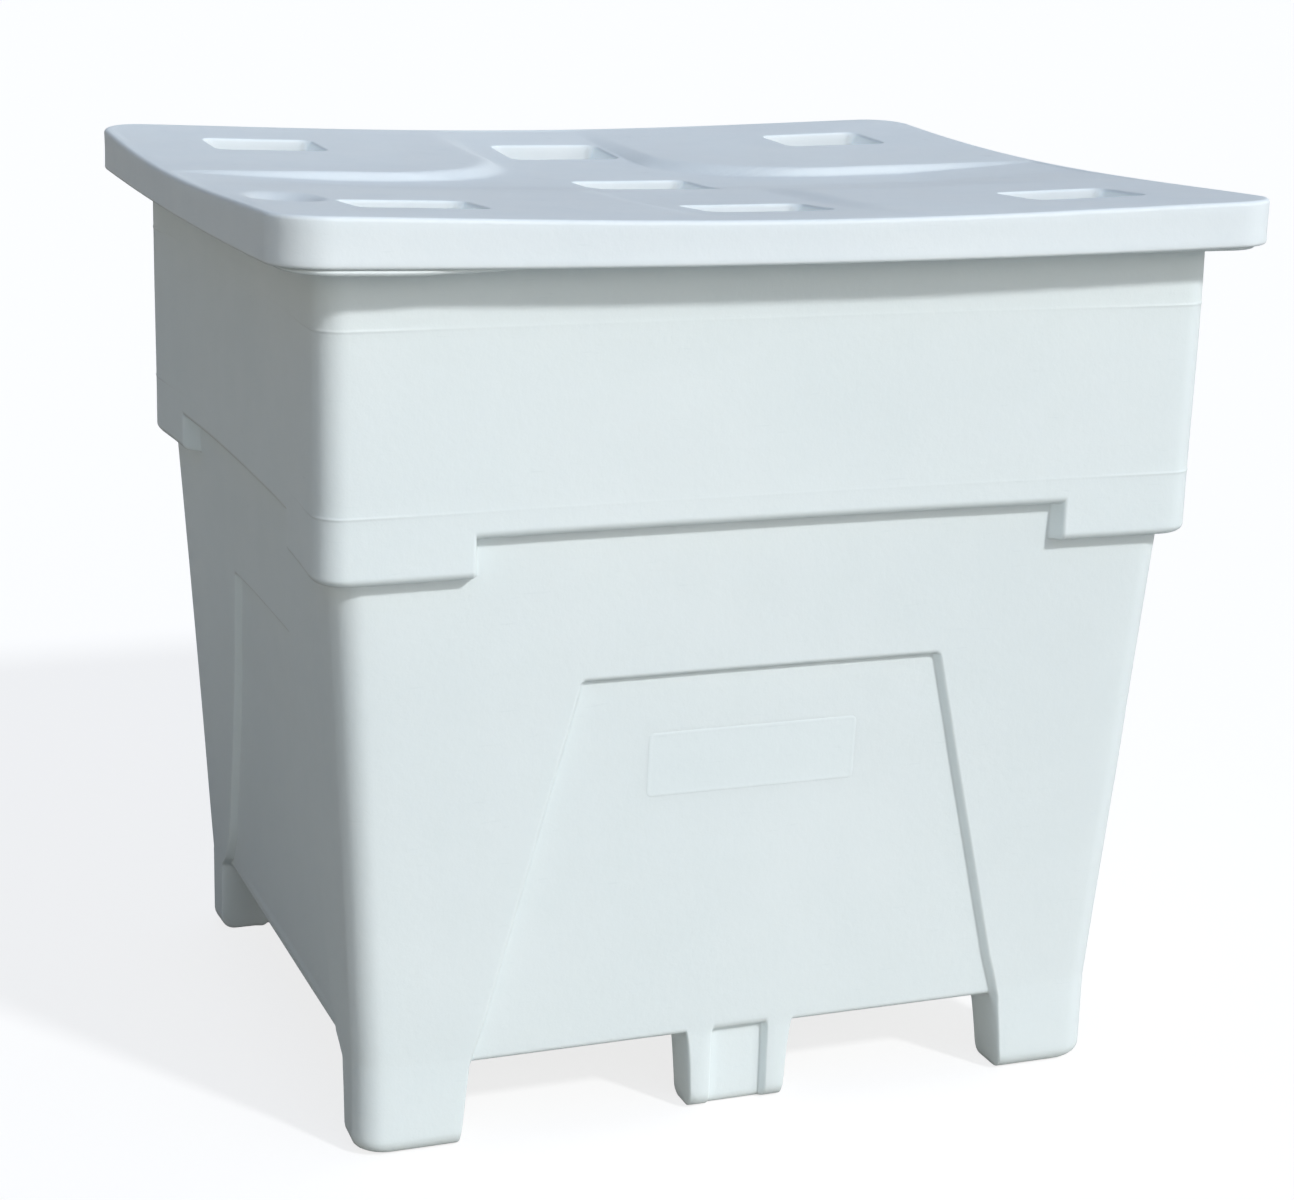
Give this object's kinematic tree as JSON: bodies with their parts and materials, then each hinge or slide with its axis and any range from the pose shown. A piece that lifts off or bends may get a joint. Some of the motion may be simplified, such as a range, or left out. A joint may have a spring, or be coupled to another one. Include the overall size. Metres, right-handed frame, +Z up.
{
  "type": "bulk container with lid",
  "caption": "Tall tapered single-wall plastic bulk container on hollow legs with four-way fork entry, and a loose dished lid whose wells take the feet of a container stacked on top.",
  "frame": {"origin": "on the ground, under the middle of the container", "axes": "+Z up; +X along the long side; the long side with the blank plaque faces -Y"},
  "size_m": [1.22, 1.07, 1.1341],
  "materials": {
    "container_plastic": "matt natural white rotational moulding",
    "lid_plastic": "matt natural white rotational moulding"
  },
  "bodies": {
    "container": {"container": "container_plastic"},
    "lid": {"lid": "lid_plastic"}
  },
  "joints": [
    {"name": "lid_lift", "type": "slide", "parent": "container", "child": "lid", "axis": [0, 0, 1], "range_m": [0, 0.3]}
  ]
}
